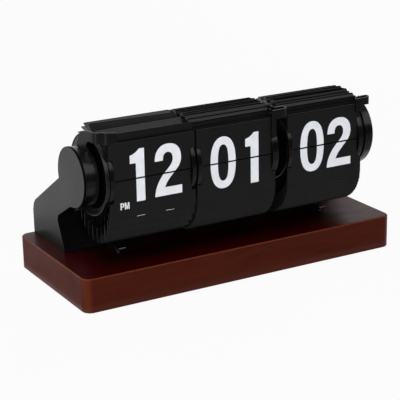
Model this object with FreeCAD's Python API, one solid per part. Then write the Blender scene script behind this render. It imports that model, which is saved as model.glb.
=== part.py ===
"""Three-window flip clock with a day-of-the-month window, on a wooden base.

Millimetres.  +X right, +Y back, +Z up.  The origin is the centre of the underside.
Three leaf wheels share one fixed axle: hour (24 leaves), minute (60) and date (62).
The standing and hanging leaves keep the same places at every whole step, so each stack
is drawn standing still, and the wheel discs, cores and gears turn between the stacks.
"""
import FreeCAD
import Part
import math
import os

# ---------------------------------------------------------------- driving dimensions
base_width = 344.4
base_depth = 152.0
base_height = 34.2
base_corner_radius = 9.0
base_edge_round = 1.4

leaf_setback = 17.5          # from the front edge of the base to the face of the leaves
pin_radius = 36.0            # circle that the leaf pins stand on
axis_rise = 81.5             # from the top of the base to the axle
window_half_height = 36.3    # from the split line to the tip of the front leaves
split_gap = 1.0              # between the upper and the lower front leaf

hour_leaves = 24
minute_leaves = 60
date_leaves = 62             # the 31 days, twice round
hour_leaf_width = 90.0
minute_leaf_width = 87.2
date_leaf_width = 87.5

leaf_thickness = 0.2
leaf_corner = 1.0
leaf_ear = 4.4               # side notch that lets the leaf stand between the wheel discs
leaf_ear_length = 16.0       # how far the notch runs from the pin
tab_height = 1.6
tab_reach = 1.3

disc_rim = 3.3               # from the pin circle to the edge of a disc
disc_thickness = 4.0
disc_side_gap = 0.2          # disc face to the outer edge of the leaves
groove_depth = 1.7
groove_half_width = 1.4
core_radius = 9.0
axle_radius = 2.5
arbor_radius = 4.5
running_clearance = 0.08
fit_clearance = 0.05

cover_thickness = 2.5
cover_to_base_edge = 15.2    # from the left end of the base to the face of the cover
cover_disc_radius = 28.9
housing_width = 13.3         # gear housing, behind the cover
housing_inset = 0.6          # seam between the cover and the housing
wall = 1.6

flange_gap = 1.6             # gear housing to the hour flange
flange_width = 4.0
flange_rim = 3.5             # from the pin circle to the edge of the hour flange
hour_minute_gap = 1.8
bracket_gap = 14.2           # between the minute leaves and the date leaves

bracket_thickness = 3.0
arm_thickness = 3.5
arm_head_radius = 33.0
arm_side_gap = 1.6
knob_width = 10.6
knob_radius = 35.8
knob_side_gap = 0.4
knob_edge_round = 3.0

floor_thickness = 4.2
floor_front = 23.2           # behind the axle
floor_back = 95.0
rear_wall_back = 95.5        # back face of the rear housing, behind the axle
rear_wall_thickness = 2.0

gear_module = 0.7
gear_width = 3.0
gear_play = 0.16             # share of the tooth pitch left as backlash
minute_teeth = 64
idler_teeth = 32
pinion_teeth = 16
set_teeth = 20
shaft_radius = 1.5

foot_thickness = 2.2
foot_reach = 31.5
foot_inset = 19.3            # left foot from the left edge of the hour leaves
foot_spacing = 230.7

cell_radius = 13.0
cell_length = 49.0
door_width = 60.0
door_height = 22.0
door_thickness = 1.8
door_clearance = 0.35
door_pin_radius = 0.6
door_pin_length = 1.5

screw_radius = 1.9
screw_head_radius = 3.8
screw_clearance = 0.15

# ---------------------------------------------------------------- worked-out places
deck = base_height
disc_radius = pin_radius + disc_rim
flange_radius = pin_radius + flange_rim
axis_y = -base_depth / 2 + leaf_setback + pin_radius
axis_z = deck + axis_rise
face_x = -base_width / 2 + cover_to_base_edge
housing_x0 = face_x + cover_thickness
housing_x1 = housing_x0 + housing_width
flange_x0 = housing_x1 + flange_gap
hour_x0 = flange_x0 + flange_width + disc_side_gap
hour_x1 = hour_x0 + hour_leaf_width
minute_x0 = hour_x1 + hour_minute_gap
minute_x1 = minute_x0 + minute_leaf_width
date_x0 = minute_x1 + bracket_gap
date_x1 = date_x0 + date_leaf_width
arm_x0 = date_x1 + arm_side_gap
arm_x1 = arm_x0 + arm_thickness
knob_x0 = arm_x1 + knob_side_gap
knob_x1 = knob_x0 + knob_width
floor_top = deck + floor_thickness
rear_y0 = axis_y + floor_front + 2.0
rear_y1 = axis_y + rear_wall_back
gear_x0 = housing_x0 + 3.0
gear_x1 = gear_x0 + gear_width

os.makedirs("parts", exist_ok=True)


def save(name, shapes):
    """Write one sub-part; a list becomes a group of separate solids."""
    if isinstance(shapes, list):
        shapes = Part.makeCompound(shapes)
    shapes.exportStep("parts/" + name + ".step")


def box(x0, x1, y0, y1, z0, z1):
    return Part.makeBox(x1 - x0, y1 - y0, z1 - z0, FreeCAD.Vector(x0, y0, z0))


def rod(x0, x1, y, z, radius):
    """Round bar along X."""
    return Part.makeCylinder(radius, x1 - x0, FreeCAD.Vector(x0, y, z), FreeCAD.Vector(1, 0, 0))


def ring(x0, x1, y, z, radius, bore):
    return rod(x0, x1, y, z, radius).cut(rod(x0 - 1, x1 + 1, y, z, bore))


def post(x, y, z0, z1, radius):
    """Upright round bar."""
    return Part.makeCylinder(radius, z1 - z0, FreeCAD.Vector(x, y, z0))


def face_of(points):
    return Part.Face(Part.makePolygon(points + [points[0]]))


def prism(points, x0, x1):
    """Outline of (y, z) points carried from x0 to x1."""
    flat = [FreeCAD.Vector(x0, y, z) for y, z in points]
    return face_of(flat).extrude(FreeCAD.Vector(x1 - x0, 0, 0))


def fused(shapes):
    return shapes[0].multiFuse(shapes[1:]).removeSplitter()


def from_axle(dy, dz):
    return (axis_y + dy, axis_z + dz)


# ---------------------------------------------------------------- wooden base and felt
felt_inset = 6.0
felt_sunk = 0.7
felt_thickness = 1.2
wood_bottom = felt_thickness - felt_sunk


def rounded_block(width, depth, z0, z1, radius):
    block = box(-width / 2, width / 2, -depth / 2, depth / 2, z0, z1)
    upright = [e for e in block.Edges if abs(e.tangentAt(e.FirstParameter).z) > 0.9]
    return block.makeFillet(radius, upright)


base = rounded_block(base_width, base_depth, wood_bottom, base_height, base_corner_radius)
level = [e for e in base.Edges if e.BoundBox.ZLength < 0.01]
base = base.makeFillet(base_edge_round, level)
felt_width = base_width - 2 * felt_inset
felt_depth = base_depth - 2 * felt_inset
felt_corner = base_corner_radius - base_edge_round
felt = rounded_block(felt_width, felt_depth, 0.0, felt_thickness, felt_corner)
base = base.cut(felt)

screw_places = []
for screw_x in (housing_x1 + 20.0, date_x1 - 20.0):
    for screw_y in (axis_y + floor_front + 10.0, axis_y + floor_back - 12.0):
        screw_places.append((screw_x, screw_y))
head_z0 = felt_thickness + 0.3
head_z1 = head_z0 + 3.0
base_screws = []
for x, y in screw_places:
    hole = post(x, y, 0, base_height + 1, screw_radius + screw_clearance)
    sink = post(x, y, 0, head_z1, screw_head_radius + 2 * screw_clearance)
    base = base.cut(hole.fuse(sink))
    shank = post(x, y, head_z1, floor_top - 0.5, screw_radius)
    base_screws.append(post(x, y, head_z0, head_z1, screw_head_radius).fuse(shank))
save("wooden_base", base)
save("felt_sheet", felt)
save("base_screws", base_screws)

# ---------------------------------------------------------------- floor plate and front feet
floor_y0 = axis_y + floor_front
floor_y1 = axis_y + floor_back
floor = box(housing_x0, arm_x1, floor_y0, floor_y1, deck, floor_top)
front_edges = [e for e in floor.Edges if abs(e.CenterOfMass.y - floor_y0) < 0.01 and e.BoundBox.XLength > 50]
floor = floor.makeFillet(1.0, [e for e in front_edges if e.CenterOfMass.z > deck + 1])
for x, y in screw_places:
    floor = floor.cut(post(x, y, deck - 1, floor_top - 0.3, screw_radius + fit_clearance))
save("floor_plate", floor)

foot_height = 8.0
foot_pin_radius = 1.2
foot_pin_length = 8.0


def front_foot(x0):
    """Upright rib that reaches forward from the floor plate, with a stop pin near its nose."""
    nose = floor_y0 - foot_reach
    outline = [(floor_y0, deck), (floor_y0, deck + foot_height), (nose + 12.0, deck + foot_height)]
    outline += [(nose + 9.0, deck + 0.97 * foot_height), (nose + 6.0, deck + 0.88 * foot_height)]
    outline += [(nose + 3.4, deck + 0.74 * foot_height), (nose + 1.4, deck + 0.54 * foot_height)]
    outline += [(nose, deck + 0.28 * foot_height), (nose, deck)]
    rib = prism(outline, x0, x0 + foot_thickness)
    pin = rod(x0, x0 + foot_thickness + foot_pin_length, nose + 3.6, deck + 3.9, foot_pin_radius)
    return rib.fuse(pin)


left_foot_x = hour_x0 + foot_inset
save("left_foot", front_foot(left_foot_x))
save("right_foot", front_foot(left_foot_x + foot_spacing))

# ---------------------------------------------------------------- left cover and gear housing
shoulder = from_axle(27.0, -6.8)
heel_top = from_axle(89.1, -45.4)
heel_mid = from_axle(93.2, -50.0)
heel_low = from_axle(95.6, -57.0)
toe = from_axle(23.0, deck - axis_z)
toe_top = from_axle(23.2, -77.2)
knee_low = from_axle(35.7, -52.5)
knee = from_axle(35.4, -49.4)
knee_top = from_axle(33.5, -46.1)
chin = from_axle(5.3, -30.2)
chin_end = from_axle(-4.8, -28.5)


def side_outline(sole_z):
    """Keyhole outline: a disc round the axle, a sloping shoulder and a wedge-shaped foot."""
    sole_back = (heel_low[0], sole_z)
    sole_front = (toe[0], sole_z)
    back = [shoulder, heel_top, heel_mid, heel_low, sole_back]
    front = [sole_front, toe_top, knee_low, knee, knee_top, chin, chin_end, (axis_y, axis_z)]
    return back + front


def side_block(x0, x1, sole_z, inset):
    plate = prism(side_outline(sole_z), x0, x1)
    plate = fused([plate, rod(x0, x1, axis_y, axis_z, cover_disc_radius)])
    if inset == 0:
        return plate
    faces = sorted(plate.Faces, key=lambda f: f.CenterOfMass.x)
    outline = faces[0].OuterWire
    smaller = Part.Face(outline.makeOffset2D(-inset, 0))
    return smaller.extrude(FreeCAD.Vector(x1 - x0, 0, 0))


cover = side_block(face_x, housing_x0, deck, 0)
boss_depth = 2.4
boss = rod(housing_x0 - 0.5, housing_x0 + boss_depth, axis_y, axis_z, 6.0)
cover = cover.fuse(boss).cut(rod(face_x + 1.2, housing_x0 + 5, axis_y, axis_z, axle_radius + fit_clearance))


def step_from(origin, radius, angle_deg):
    a = math.radians(angle_deg)
    return (origin[0] + radius * math.cos(a), origin[1] + radius * math.sin(a))


def meet(a, b, ra, rb):
    """Point at distance ra from a and rb from b, on the lower side of the line a-b."""
    dy = b[0] - a[0]
    dz = b[1] - a[1]
    d = math.hypot(dy, dz)
    along = (ra * ra - rb * rb + d * d) / (2 * d)
    off = math.sqrt(max(ra * ra - along * along, 0.0))
    return (a[0] + (along * dy + off * dz) / d, a[1] + (along * dz - off * dy) / d)


def pitch_radius(teeth):
    return gear_module * teeth / 2


axle = (axis_y, axis_z)
set_wheel_radius = 12.0
set_slot_gap = 0.6
set_wheel_gap = 0.4
set_axis = from_axle(85.0, -63.8)
pinion_axis = step_from(set_axis, pitch_radius(set_teeth) + pitch_radius(pinion_teeth), 162.0)
idler_3 = step_from(pinion_axis, pitch_radius(idler_teeth) + pitch_radius(pinion_teeth), 129.0)
idler_1 = step_from(axle, pitch_radius(minute_teeth) + pitch_radius(idler_teeth), -43.0)
idler_2 = meet(idler_1, idler_3, 2 * pitch_radius(idler_teeth), 2 * pitch_radius(idler_teeth))

shell = side_block(housing_x0, housing_x1, floor_top, housing_inset)
cavity = side_block(housing_x0 - 1, housing_x1 - wall, floor_top, housing_inset + wall)
housing = shell.cut(cavity)
housing = housing.cut(rod(housing_x0, housing_x1 + 1, axis_y, axis_z, arbor_radius + 3 * running_clearance))
set_slot = box(housing_x0 - 1, gear_x0 - 0.1, set_axis[0] - 6.5, rear_y1 + 5,
               floor_top, set_axis[1] + set_wheel_radius + set_slot_gap)
housing = housing.cut(set_slot)
housing = housing.cut(rod(housing_x0, housing_x1 + 1, pinion_axis[0], pinion_axis[1], shaft_radius + 0.3))
idler_places = [idler_1, idler_2, idler_3]
for y, z in idler_places + [set_axis]:
    housing = housing.fuse(rod(housing_x1 - wall - 1.0, housing_x1 - 0.2, y, z, 3.2))
for y, z in idler_places + [set_axis]:
    housing = housing.cut(rod(housing_x0, housing_x1 - 0.8, y, z, shaft_radius + fit_clearance))
    cover = cover.cut(rod(housing_x0 - 1.0, housing_x0 + 1, y, z, shaft_radius + fit_clearance))
save("gear_housing", housing)
save("left_cover", cover)

# ---------------------------------------------------------------- gears
tooth_top = 0.9 * gear_module
tooth_root = 1.15 * gear_module


def gear(x0, x1, centre, teeth, phase_deg, bore):
    """Spur gear with straight-flanked teeth; a tooth stands at phase_deg."""
    pitch = 2 * math.pi / teeth
    half_root = pitch * (0.25 - gear_play / 4) + 0.42 * tooth_root / pitch_radius(teeth)
    half_tip = pitch * (0.25 - gear_play / 4) - 0.36 * tooth_top / pitch_radius(teeth)
    points = []
    for k in range(teeth):
        middle = math.radians(phase_deg) + k * pitch
        for radius, turn in ((-tooth_root, -half_root), (tooth_top, -half_tip),
                             (tooth_top, half_tip), (-tooth_root, half_root)):
            r = pitch_radius(teeth) + radius
            points.append((centre[0] + r * math.cos(middle + turn), centre[1] + r * math.sin(middle + turn)))
    blank = prism(points, x0, x1)
    return blank.cut(rod(x0 - 1, x1 + 1, centre[0], centre[1], bore))


def bearing_of(a, b):
    return math.degrees(math.atan2(b[1] - a[1], b[0] - a[0]))


def meshed_phase(driver_at, driver_phase, driver_teeth, at, teeth):
    """Phase that puts a gap of the new gear opposite the driver's tooth on the centre line."""
    line = bearing_of(driver_at, at)
    from_line = (line - driver_phase) * driver_teeth / 360.0
    share = from_line - math.floor(from_line)
    return line + 180.0 + (180.0 / teeth) + share * 360.0 / teeth


shaft_bore = shaft_radius + running_clearance
minute_phase = 0.0
phase_1 = meshed_phase(axle, minute_phase, minute_teeth, idler_1, idler_teeth)
phase_2 = meshed_phase(idler_1, phase_1, idler_teeth, idler_2, idler_teeth)
phase_3 = meshed_phase(idler_2, phase_2, idler_teeth, idler_3, idler_teeth)
pinion_phase = meshed_phase(idler_3, phase_3, idler_teeth, pinion_axis, pinion_teeth)
set_phase = meshed_phase(pinion_axis, pinion_phase, pinion_teeth, set_axis, set_teeth)
save("minute_gear", gear(gear_x0, gear_x1, axle, minute_teeth, minute_phase, arbor_radius + fit_clearance))
save("idler_gear_upper", gear(gear_x0, gear_x1, idler_1, idler_teeth, phase_1, shaft_bore))
save("idler_gear_middle", gear(gear_x0, gear_x1, idler_2, idler_teeth, phase_2, shaft_bore))
save("idler_gear_lower", gear(gear_x0, gear_x1, idler_3, idler_teeth, phase_3, shaft_bore))
idler_pins = []
for y, z in idler_places:
    idler_pins.append(rod(housing_x0 - 0.9, housing_x1 - 0.9, y, z, shaft_radius))
save("idler_pins", idler_pins)

pinion_shaft_end = housing_x1 + 6.0
pinion = gear(gear_x0, gear_x1, pinion_axis, pinion_teeth, pinion_phase, shaft_radius)
pinion = pinion.fuse(rod(gear_x0, pinion_shaft_end, pinion_axis[0], pinion_axis[1], shaft_radius))
save("motor_pinion", pinion)

knurls = 36
set_wheel = rod(housing_x0 + set_wheel_gap, gear_x0 - set_wheel_gap, set_axis[0], set_axis[1], set_wheel_radius)
for k in range(knurls):
    y, z = step_from(set_axis, set_wheel_radius + 0.25, k * 360.0 / knurls)
    set_wheel = set_wheel.cut(rod(housing_x0, gear_x0, y, z, 0.55))
set_wheel = set_wheel.cut(rod(housing_x0, gear_x0, set_axis[0], set_axis[1], shaft_radius + fit_clearance))
save("set_thumbwheel", set_wheel)
set_gear = gear(gear_x0, gear_x1, set_axis, set_teeth, set_phase, shaft_radius)
set_shaft = rod(housing_x0 - 0.9, housing_x1 - 0.9, set_axis[0], set_axis[1], shaft_radius)
save("set_gear", set_gear.fuse(set_shaft))

# ---------------------------------------------------------------- rear housing
motor_length = 18.0
motor_radius = 10.5
motor_headroom = 0.9
housing_to_rear = 0.4
rear_z1 = pinion_axis[1] + motor_radius + motor_headroom + rear_wall_thickness
knee_back = 2.2
rear_outline = [
    (rear_y0, floor_top), (axis_y + 35.7 + knee_back, floor_top + 24.5),
    (axis_y + 35.4 + knee_back, rear_z1 - 2.5), (axis_y + 33.5 + knee_back + 2.0, rear_z1),
    (axis_y + 86.0, rear_z1), (axis_y + 92.5, rear_z1 - 4.0), (rear_y1, rear_z1 - 10.0), (rear_y1, floor_top)]
rear_x0 = housing_x1 + housing_to_rear
rear_x1 = date_x1 + 0.8
solid_rear = prism(rear_outline, rear_x0, rear_x1)
inner_face = face_of([FreeCAD.Vector(rear_x0 + rear_wall_thickness, y, z) for y, z in rear_outline])
inner_wire = inner_face.OuterWire.makeOffset2D(-rear_wall_thickness, 0)
inner_space = Part.Face(inner_wire).extrude(FreeCAD.Vector(rear_x1 - rear_x0 - 2 * rear_wall_thickness, 0, 0))
below = box(rear_x0 + rear_wall_thickness, rear_x1 - rear_wall_thickness,
            rear_y0 + 3.5, rear_y1 - rear_wall_thickness, floor_top - 1, floor_top + 4)
rear_shell = solid_rear.cut(inner_space).cut(below)
door_z0 = floor_top + 2.6
door_z1 = door_z0 + door_height
door_x0 = -door_width / 2
door_x1 = door_width / 2
rear_shell = rear_shell.cut(box(door_x0, door_x1, rear_y1 - 6, rear_y1 + 1, door_z0, door_z1))
rear_shell = rear_shell.cut(rod(rear_x0 - 1, rear_x0 + 5, pinion_axis[0], pinion_axis[1], 2.6))
door_axis_y = rear_y1 - door_thickness / 2
door_axis_z = door_z0 + door_clearance + door_thickness / 2
socket = door_pin_length + 0.1 - door_clearance
rear_shell = rear_shell.cut(rod(door_x0 - socket, door_x1 + socket, door_axis_y, door_axis_z,
                                door_pin_radius + running_clearance))
vent_count = 9
vent_pitch = 5.0
for k in range(vent_count):
    vent_x = door_x1 + 22.0 + k * vent_pitch
    rear_shell = rear_shell.cut(box(vent_x, vent_x + 2.0, rear_y1 - 6, rear_y1 + 1, door_z0 + 2, door_z1 - 2))
save("rear_housing", rear_shell)

# ---------------------------------------------------------------- battery door, tray and cell
door = box(door_x0 + door_clearance, door_x1 - door_clearance, rear_y1 - door_thickness, rear_y1,
           door_axis_z, door_z1 - door_clearance)
door = door.fuse(rod(door_x0 + door_clearance, door_x1 - door_clearance, door_axis_y, door_axis_z,
                     door_thickness / 2))
pin_reach = door_pin_length - door_clearance
door = door.fuse(rod(door_x0 - pin_reach, door_x1 + pin_reach, door_axis_y, door_axis_z, door_pin_radius))
ridge_count = 5
for k in range(ridge_count):
    ridge_z = door_z1 - 4.0 - k * 1.6
    door = door.cut(box(-9.0, 9.0, rear_y1 - 0.5, rear_y1 + 1, ridge_z, ridge_z + 0.7))
save("battery_door", door)
print("door hinge at y", round(door_axis_y, 4), "z", round(door_axis_z, 4))

tray_wall = 1.4
tray_clearance = 0.4
cell_y = rear_y1 - door_thickness - 1.2 - cell_radius
cell_z = floor_top + 1.8 + cell_radius
spring_space = 5.5
tray_x0 = -cell_length / 2 - spring_space - tray_wall
tray_x1 = cell_length / 2 + 1.6 + tray_wall
tray_y0 = cell_y - cell_radius - tray_clearance - tray_wall
tray_y1 = rear_y1 - door_thickness - 0.4
tray = box(tray_x0, tray_x1, tray_y0, tray_y1, floor_top, cell_z + 5.0)
tray = tray.cut(box(tray_x0 + tray_wall, tray_x1 - tray_wall, tray_y0 + tray_wall, tray_y1 + 1,
                    cell_z - cell_radius - tray_clearance, cell_z + 20))
save("battery_tray", tray)
cell_x0 = tray_x0 + tray_wall + spring_space
cell_x1 = cell_x0 + cell_length
cell = rod(cell_x0, cell_x1, cell_y, cell_z, cell_radius)
cell = cell.fuse(rod(cell_x1, cell_x1 + 1.2, cell_y, cell_z, 3.5))
save("battery_cell", cell)
contact_plate = box(tray_x1 - tray_wall - 0.4, tray_x1 - tray_wall, cell_y - 6, cell_y + 6,
                    cell_z - 8, cell_z + 8)
save("battery_contact", contact_plate)
spring_rings = [box(tray_x0 + tray_wall, tray_x0 + tray_wall + 0.4, cell_y - 7, cell_y + 7, cell_z - 8, cell_z + 8)]
spring_turns = 4
spring_step = (spring_space - 0.4) / spring_turns
for k in range(spring_turns):
    x0 = tray_x0 + tray_wall + 0.4 + k * spring_step
    outer = 6.0 - 0.7 * k
    spring_rings.append(ring(x0, x0 + spring_step, cell_y, cell_z, outer, outer - 1.1))
save("battery_spring", fused(spring_rings))

# ---------------------------------------------------------------- motor and circuit board
motor_x0 = rear_x0 + rear_wall_thickness + 0.3
motor_x1 = motor_x0 + motor_length
motor_y, motor_z = pinion_axis
motor = rod(motor_x0, motor_x1, motor_y, motor_z, motor_radius)
motor = motor.cut(rod(motor_x0 - 1, motor_x0 + 6, motor_y, motor_z, shaft_radius + running_clearance))
cradle = box(motor_x0 + 2, motor_x1 - 2, motor_y - 8, motor_y + 8, floor_top, motor_z - 5)
motor = motor.fuse(cradle)
save("step_motor", motor)

board_x0 = motor_x1 + 6.0
board_x1 = tray_x0 - 4.0
board = box(board_x0, board_x1, rear_y0 + 14, rear_y1 - 14, floor_top + 5.0, floor_top + 6.6)
chip = box(board_x0 + 14, board_x0 + 26, rear_y0 + 26, rear_y0 + 34, floor_top + 6.6, floor_top + 8.6)
crystal = rod(board_x0 + 32, board_x0 + 40, rear_y0 + 30, floor_top + 8.1, 1.5)
board = fused([board, chip, crystal])
for x in (board_x0 + 4, board_x1 - 4):
    for y in (rear_y0 + 18, rear_y1 - 18):
        board = board.fuse(post(x, y, floor_top, floor_top + 5.0, 2.0))
save("circuit_board", board)

# ---------------------------------------------------------------- axle, arms and bracket
axle_x0 = face_x + 1.3
axle_x1 = knob_x1 - 2.0
save("axle", rod(axle_x0, axle_x1, axis_y, axis_z, axle_radius))


def touch_point(from_y, from_z, radius, turn):
    """Where a line from a point touches a circle round the axle; turn picks the side."""
    away = math.hypot(from_y, from_z)
    angle = math.atan2(from_z, from_y) + turn * math.acos(radius / away)
    return from_axle(radius * math.cos(angle), radius * math.sin(angle))


def carrier(x0, x1, boss_x0, boss_x1, boss_radius, bore, foot, head_radius):
    """Plate with a round head at the axle and straight sides down to its foot, and a boss for the axle."""
    head = rod(x0, x1, axis_y, axis_z, head_radius)
    (foot_y0, foot_y1, foot_z) = foot
    ankle = foot_z + 6 - axis_z
    front = touch_point(foot_y0 - axis_y, ankle, head_radius, -1)
    back = touch_point(foot_y1 - axis_y, ankle, head_radius, 1)
    sides = [front, (foot_y0, foot_z + 6), (foot_y0, foot_z), (foot_y1, foot_z), (foot_y1, foot_z + 6), back]
    plate = fused([head, prism(sides, x0, x1), rod(boss_x0, boss_x1, axis_y, axis_z, boss_radius)])
    return plate.cut(rod(boss_x0 - 1, boss_x1 + 1, axis_y, axis_z, bore))


bracket_mid = (minute_x1 + date_x0) / 2
bracket_x0 = bracket_mid - bracket_thickness / 2
bracket_x1 = bracket_mid + bracket_thickness / 2
bracket_foot = (axis_y + 44.0, axis_y + 80.0, rear_z1)
bracket = carrier(bracket_x0, bracket_x1, bracket_mid - 4.0, bracket_mid + 4.0, 7.0,
                  axle_radius + fit_clearance, bracket_foot, 13.0)
horn = prism([from_axle(-4, 6), from_axle(-22, 30), from_axle(-18, 36), from_axle(0, 30), from_axle(6, 6)],
             bracket_x0, bracket_x1)
bracket_sole = box(bracket_mid - 9, bracket_mid + 9, axis_y + 50, axis_y + 80, rear_z1, rear_z1 + 2.5)
bracket = fused([bracket, horn, bracket_sole])
bracket = bracket.cut(rod(bracket_x0 - 9, bracket_x1 + 9, axis_y, axis_z, axle_radius + fit_clearance))
save("centre_bracket", bracket)

journal_radius = 5.0
arm_foot = (axis_y + 44.0, axis_y + 84.0, floor_top)
right_arm = carrier(arm_x0, arm_x1, arm_x0, arm_x1, 10.0, journal_radius + running_clearance, arm_foot,
                    arm_head_radius)
save("right_arm", right_arm)

# ---------------------------------------------------------------- wheels
def wheel_disc(x0, x1, groove_at_right, bore):
    """End disc of a leaf wheel: stepped face, raised rim and the groove for the leaf tabs."""
    disc = ring(x0, x1, axis_y, axis_z, disc_radius, bore)
    if groove_at_right:
        g0 = x1 - groove_depth
        g1 = x1 + 1
    else:
        g0 = x0 - 1
        g1 = x0 + groove_depth
    return disc.cut(ring(g0, g1, axis_y, axis_z, pin_radius + groove_half_width, pin_radius - groove_half_width))


def disc_places(x0, x1):
    left0 = x0 + disc_side_gap
    right1 = x1 - disc_side_gap
    return left0, left0 + disc_thickness, right1 - disc_thickness, right1


hour_bore = arbor_radius + running_clearance
minute_bore = arbor_radius + fit_clearance
date_bore = axle_radius + running_clearance
wheels = [("hour", hour_x0, hour_x1, hour_bore), ("minute", minute_x0, minute_x1, minute_bore),
          ("date", date_x0, date_x1, date_bore)]
for name, x0, x1, bore in wheels:
    left0, left1, right0, right1 = disc_places(x0, x1)
    save(name + "_left_disc", wheel_disc(left0, left1, True, bore))
    right_disc = wheel_disc(right0, right1, False, bore)
    if name == "minute":
        right_disc = right_disc.fuse(ring(right1, right1 + 2.6, axis_y, axis_z, disc_radius - 2.0, bore))
    save(name + "_right_disc", right_disc)
    save(name + "_core", ring(left1, right0, axis_y, axis_z, core_radius, bore))

minute_right1 = disc_places(minute_x0, minute_x1)[3]
arbor = ring(gear_x0 - 0.5, minute_right1 + 2.6, axis_y, axis_z, arbor_radius, axle_radius + running_clearance)
save("minute_arbor", arbor)

dish_depth = 2.2
flange_x1 = flange_x0 + flange_width
flange = ring(flange_x0, flange_x1, axis_y, axis_z, flange_radius, hour_bore)
dish = Part.makeCone(flange_radius - 1.2, flange_radius - 9.0, dish_depth,
                     FreeCAD.Vector(flange_x0, axis_y, axis_z), FreeCAD.Vector(1, 0, 0))
flange = flange.cut(dish)
save("hour_flange", flange)

date_right1 = disc_places(date_x0, date_x1)[3]
knob = rod(knob_x0, knob_x1, axis_y, axis_z, knob_radius)
far_edge = [e for e in knob.Edges if e.BoundBox.XMin > knob_x1 - 0.01]
knob = knob.makeFillet(knob_edge_round, far_edge)
knob = knob.cut(ring(knob_x1 - 1.6, knob_x1 + 1, axis_y, axis_z, knob_radius - 7.0, 9.0))
knob = knob.fuse(rod(date_right1, knob_x0, axis_y, axis_z, journal_radius))
knob = knob.cut(rod(date_right1 - 1, axle_x1 + 0.3, axis_y, axis_z, axle_radius + running_clearance))
save("date_knob", knob)

# ---------------------------------------------------------------- leaves
curve_rise = 3.5             # how fast a resting leaf leaves the pin circle, per radian
curve_free = 13.8            # bow of the leaves that lie on the top of the wheel
curve_taut = 19.0            # bow of the leaves that stand or hang nearly straight


def smooth(value, low, high):
    t = min(max((value - low) / (high - low), 0.0), 1.0)
    return t * t * (3 - 2 * t)


def bow(theta_deg):
    front = 1 - smooth(theta_deg, 0.0, 40.0)
    rear = smooth(theta_deg, 120.0, 160.0)
    return curve_free + (curve_taut - curve_free) * max(front, rear)


def leaf_sizes(count):
    pitch = 360.0 / count
    half_rise = pin_radius * math.sin(math.radians(pitch / 2))
    root = half_rise - split_gap / 2
    length = window_half_height - half_rise
    return pitch, root, length


def flat_leaf(x0, x1, y, pin_z, root, length, up, cuts):
    """Leaf that stands (up = 1) or hangs (up = -1); cuts are (x0, x1, from the tip) corner notches."""
    ear = leaf_ear
    rows = [(x0 + ear, -root), (x1 - ear, -root), (x1 - ear, -tab_height / 2), (x1 - ear + tab_reach, -tab_height / 2),
            (x1 - ear + tab_reach, tab_height / 2), (x1 - ear, tab_height / 2), (x1 - ear, leaf_ear_length),
            (x1, leaf_ear_length), (x1, length), (x0, length), (x0, leaf_ear_length), (x0 + ear, leaf_ear_length),
            (x0 + ear, tab_height / 2), (x0 + ear - tab_reach, tab_height / 2),
            (x0 + ear - tab_reach, -tab_height / 2), (x0 + ear, -tab_height / 2)]
    points = [FreeCAD.Vector(x, y - leaf_thickness / 2, pin_z + up * v) for x, v in rows]
    leaf = face_of(points).extrude(FreeCAD.Vector(0, leaf_thickness, 0))
    tip = [e for e in leaf.Edges if e.BoundBox.YLength > leaf_thickness / 2
           and abs(e.CenterOfMass.z - (pin_z + up * length)) < 0.01]
    leaf = leaf.makeFillet(leaf_corner, tip)
    for cut_x0, cut_x1, depth in cuts:
        tip_z = pin_z + up * (length + 1)
        low_z = pin_z + up * (length - depth)
        leaf = leaf.cut(box(cut_x0, cut_x1, y - 1, y + 1, min(tip_z, low_z), max(tip_z, low_z)))
    return leaf


def curve_point(theta_deg, psi, offset):
    radius = pin_radius + curve_rise * psi + bow(theta_deg) * psi * psi + offset
    a = math.radians(theta_deg) + psi
    return (axis_y - radius * math.cos(a), axis_z + radius * math.sin(a))


def tip_angle(theta_deg, length):
    pin = curve_point(theta_deg, 0, 0)
    psi = 0.0
    while math.dist(pin, curve_point(theta_deg, psi, 0)) < length:
        psi += 0.002
    return psi


def strip(theta_deg, psi0, psi1, x0, x1):
    """Stretch of a bowed leaf between two angles along it."""
    half = leaf_thickness / 2
    middle = (psi0 + psi1) / 2
    inner = [FreeCAD.Vector(x0, *curve_point(theta_deg, p, -half)) for p in (psi0, middle, psi1)]
    outer = [FreeCAD.Vector(x0, *curve_point(theta_deg, p, half)) for p in (psi0, middle, psi1)]
    edges = [Part.Arc(inner[0], inner[1], inner[2]).toShape(), Part.LineSegment(inner[2], outer[2]).toShape(),
             Part.Arc(outer[2], outer[1], outer[0]).toShape(), Part.LineSegment(outer[0], inner[0]).toShape()]
    return Part.Face(Part.Wire(edges)).extrude(FreeCAD.Vector(x1 - x0, 0, 0))


def bowed_leaf(x0, x1, theta_deg, root, length):
    psi_tip = tip_angle(theta_deg, length)
    psi_ear = tip_angle(theta_deg, leaf_ear_length)
    psi_root = -root / pin_radius
    psi_tab = tab_height / 2 / pin_radius
    narrow = strip(theta_deg, psi_root, psi_ear, x0 + leaf_ear, x1 - leaf_ear)
    wide = strip(theta_deg, psi_ear, psi_tip, x0, x1)
    tabs = strip(theta_deg, -psi_tab, psi_tab, x0 + leaf_ear - tab_reach, x1 - leaf_ear + tab_reach)
    return narrow.multiFuse([wide, tabs])


catch_cover = 4.5            # how far a catch reaches over the side of a front leaf
catch_clearance = 0.5


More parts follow.
